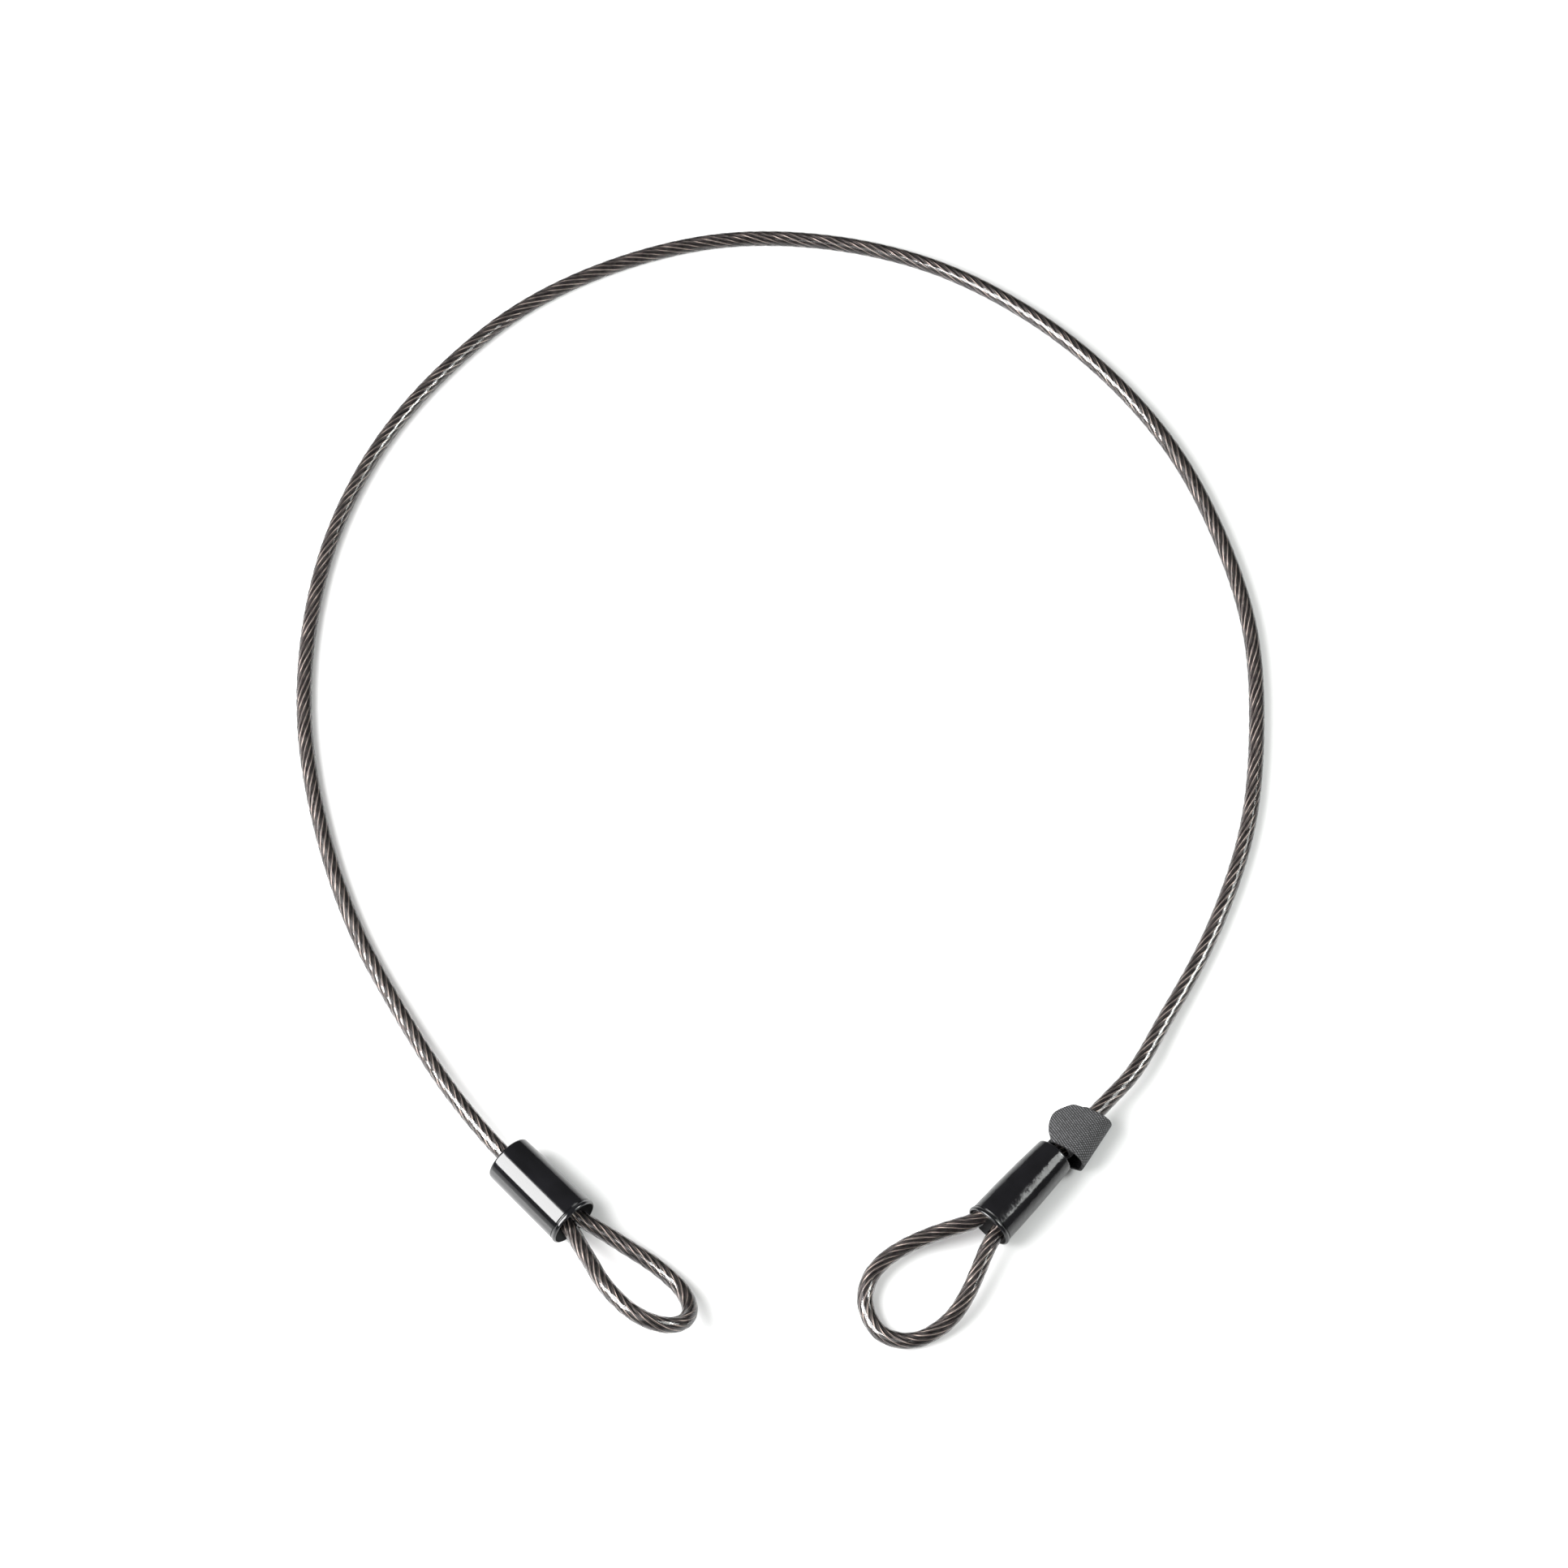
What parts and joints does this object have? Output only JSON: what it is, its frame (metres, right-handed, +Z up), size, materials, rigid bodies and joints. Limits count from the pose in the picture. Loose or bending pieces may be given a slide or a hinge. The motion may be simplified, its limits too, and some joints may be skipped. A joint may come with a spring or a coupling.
{
  "type": "cable lock",
  "caption": "Steel security cable in a clear smoke-grey vinyl jacket, with a crimped eye at each end under black covers, and a grey hook-and-loop strap wound round it.",
  "frame": {"origin": "on the surface that the cable lies on, midway between its two ends", "axes": "+Z up, +X from the left end to the right end, +Y towards the loop's far side"},
  "size_m": [0.4336, 0.5575, 0.0289],
  "materials": {
    "vinyl_jacket": "clear smoke-grey vinyl, glossy",
    "wire_rope": "bright drawn wire, lightly oiled",
    "ferrule": "dull dark grey, crimped",
    "cover": "black, polished",
    "hook_tape": "black nylon hook tape",
    "loop_tape": "dark grey knitted loop tape"
  },
  "bodies": {
    "cable": {"main_jacket": "vinyl_jacket", "main_rope": "wire_rope", "left_eye_jacket": "vinyl_jacket", "left_eye_rope": "wire_rope", "right_eye_jacket": "vinyl_jacket", "right_eye_rope": "wire_rope", "left_ferrule": "ferrule", "right_ferrule": "ferrule", "left_cover": "cover", "right_cover": "cover"},
    "strap": {"strap_hook_tape": "hook_tape", "strap_loop_tape": "loop_tape"},
    "strap_tongue": {"tongue_hook_tape": "hook_tape", "tongue_loop_tape": "loop_tape"}
  },
  "joints": [
    {"name": "strap_slide", "type": "slide", "parent": "cable", "child": "strap", "axis": [0.661, 0.7471, -0.0698], "range_m": [0, 0.015]},
    {"name": "tongue_peel", "type": "hinge", "parent": "strap", "child": "strap_tongue", "pos_m": [0.11231, 0.03345, 0.01795], "axis": [0.661, 0.7471, -0.0698], "range_deg": [0, 120]}
  ]
}
